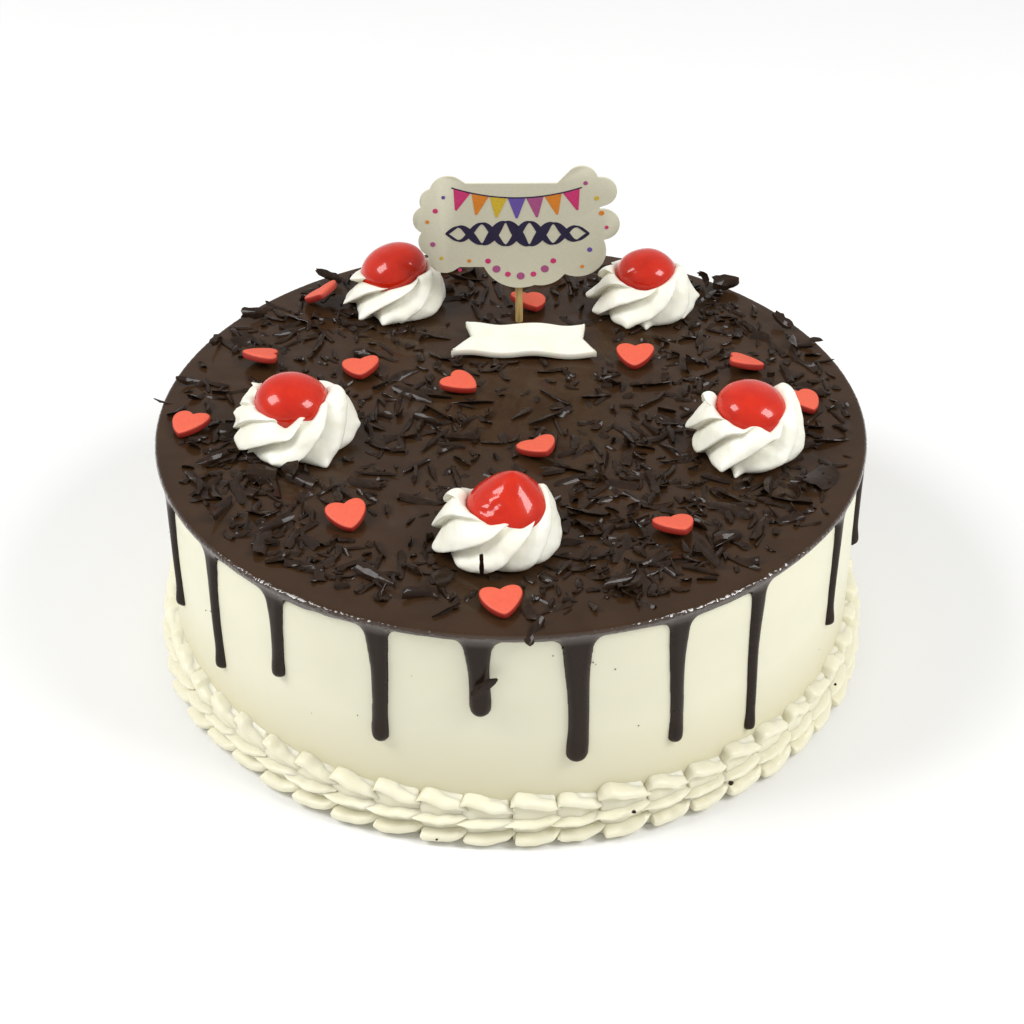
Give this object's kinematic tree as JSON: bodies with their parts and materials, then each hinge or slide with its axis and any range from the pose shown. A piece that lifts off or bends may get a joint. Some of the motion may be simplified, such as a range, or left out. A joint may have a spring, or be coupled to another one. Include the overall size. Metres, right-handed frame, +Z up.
{
  "type": "chocolate drip cake",
  "caption": "Round cream-covered cake with a dark ganache top that runs down in drips, chocolate shavings, cherries on piped rosettes, sugar hearts, a ribbon plaque and a card topper.",
  "frame": {"origin": "centre of the cake's flat bottom", "axes": "+Z up through the cake, -Y towards the front, where the topper card's printed face looks, +X to the right seen from the front"},
  "size_m": [0.2158, 0.215, 0.125],
  "materials": {
    "side_cream": "smoothed whipped cream, ivory, satin",
    "piped_cream": "piped whipped cream, off-white, soft sheen",
    "dark_ganache": "set dark chocolate ganache, semi-gloss, with duller shavings",
    "candied_cherry": "glossy candied cherry, wet and slightly translucent",
    "sugar_heart": "moulded sugar paste, coral red, satin",
    "sugar_ribbon": "rolled white sugar paste, soft gloss",
    "printed_card": "matt card, warm grey",
    "stick_wood": "bare bamboo"
  },
  "bodies": {
    "root": {"cake_body": "side_cream", "ganache": "dark_ganache", "shell_border": "piped_cream", "rosette_left": "piped_cream", "rosette_right": "piped_cream", "rosette_front": "piped_cream", "rosette_back_left": "piped_cream", "rosette_back_right": "piped_cream", "cherry_left": "candied_cherry", "cherry_right": "candied_cherry", "cherry_front": "candied_cherry", "cherry_back_left": "candied_cherry", "cherry_back_right": "candied_cherry", "heart_01": "sugar_heart", "heart_02": "sugar_heart", "heart_03": "sugar_heart", "heart_04": "sugar_heart", "heart_05": "sugar_heart", "heart_06": "sugar_heart", "heart_07": "sugar_heart", "heart_08": "sugar_heart", "heart_09": "sugar_heart", "heart_10": "sugar_heart", "heart_11": "sugar_heart", "heart_12": "sugar_heart", "heart_13": "sugar_heart", "plaque": "sugar_ribbon", "topper_card": "printed_card", "topper_stick": "stick_wood"}
  },
  "joints": []
}
